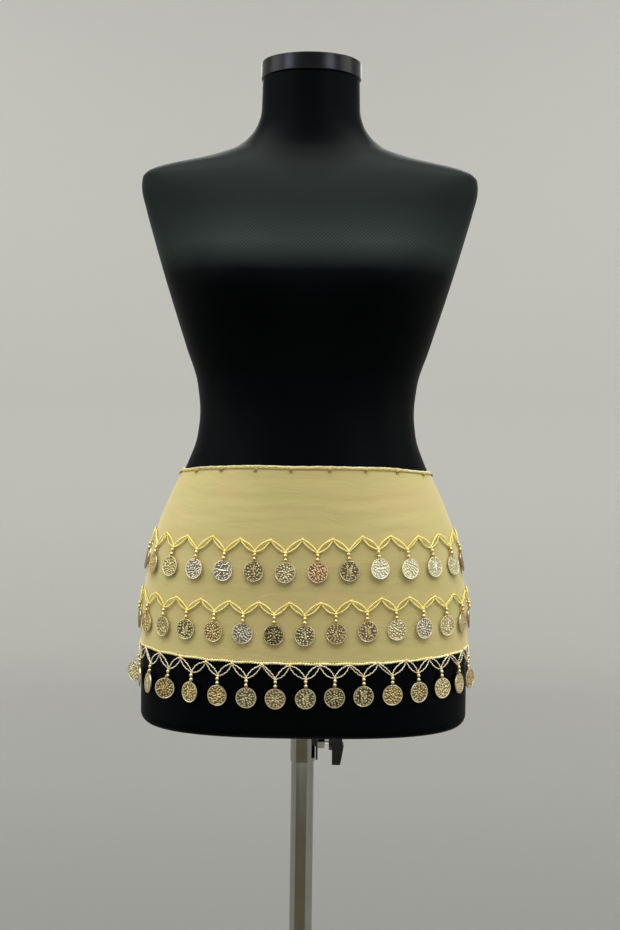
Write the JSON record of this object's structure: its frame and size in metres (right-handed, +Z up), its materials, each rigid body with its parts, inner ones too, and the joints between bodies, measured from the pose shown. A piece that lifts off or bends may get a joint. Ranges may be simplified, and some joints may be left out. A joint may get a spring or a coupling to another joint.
{
  "type": "belly dance hip scarf on a dress form",
  "caption": "Chiffon belly dance hip scarf with hanging coin fringes, wound round the hips of a limbless dress form on a pole stand.",
  "frame": {"origin": "centre of the base plate's underside, on the pole's axis", "axes": "+Z up along the pole, -Y out of the form's front, +X to the right as seen from the front"},
  "size_m": [0.3512, 0.32, 1.5058],
  "materials": {
    "chiffon": "satin",
    "gold_yarn": "matte",
    "gold_coin": "satin",
    "black_jersey": "matte",
    "black_gloss": "gloss",
    "black_plastic": "satin",
    "chrome": "polished"
  },
  "bodies": {
    "stand": {"base_plate": "chrome", "base_socket": "chrome", "pole": "chrome"},
    "sleeve": {"form_sleeve": "chrome", "clamp_bracket": "black_plastic"},
    "clamp": {"clamp_screw": "chrome", "clamp_handle": "black_plastic"},
    "form": {"form_torso": "black_jersey", "neck_cap": "black_gloss", "scarf_wrap": "chiffon", "top_cord": "gold_yarn", "hem_edging": "gold_yarn", "end_edging": "gold_yarn", "coin_row_upper": "gold_coin", "coin_row_middle": "gold_coin", "coin_row_hem": "gold_coin", "knot": "chiffon", "tail_left": "chiffon", "tail_right": "chiffon"}
  },
  "joints": [
    {"name": "form_height", "type": "slide", "parent": "stand", "child": "sleeve", "axis": [0, 0, 1], "range_m": [-0.15, 0.08]},
    {"name": "form_swivel", "type": "hinge", "parent": "sleeve", "child": "form", "pos_m": [0, 0, 0.8262], "axis": [0, 0, 1], "continuous": true},
    {"name": "clamp_turn", "type": "hinge", "parent": "sleeve", "child": "clamp", "pos_m": [0.016, 0, 0.8], "axis": [1, 0, 0], "continuous": true}
  ]
}
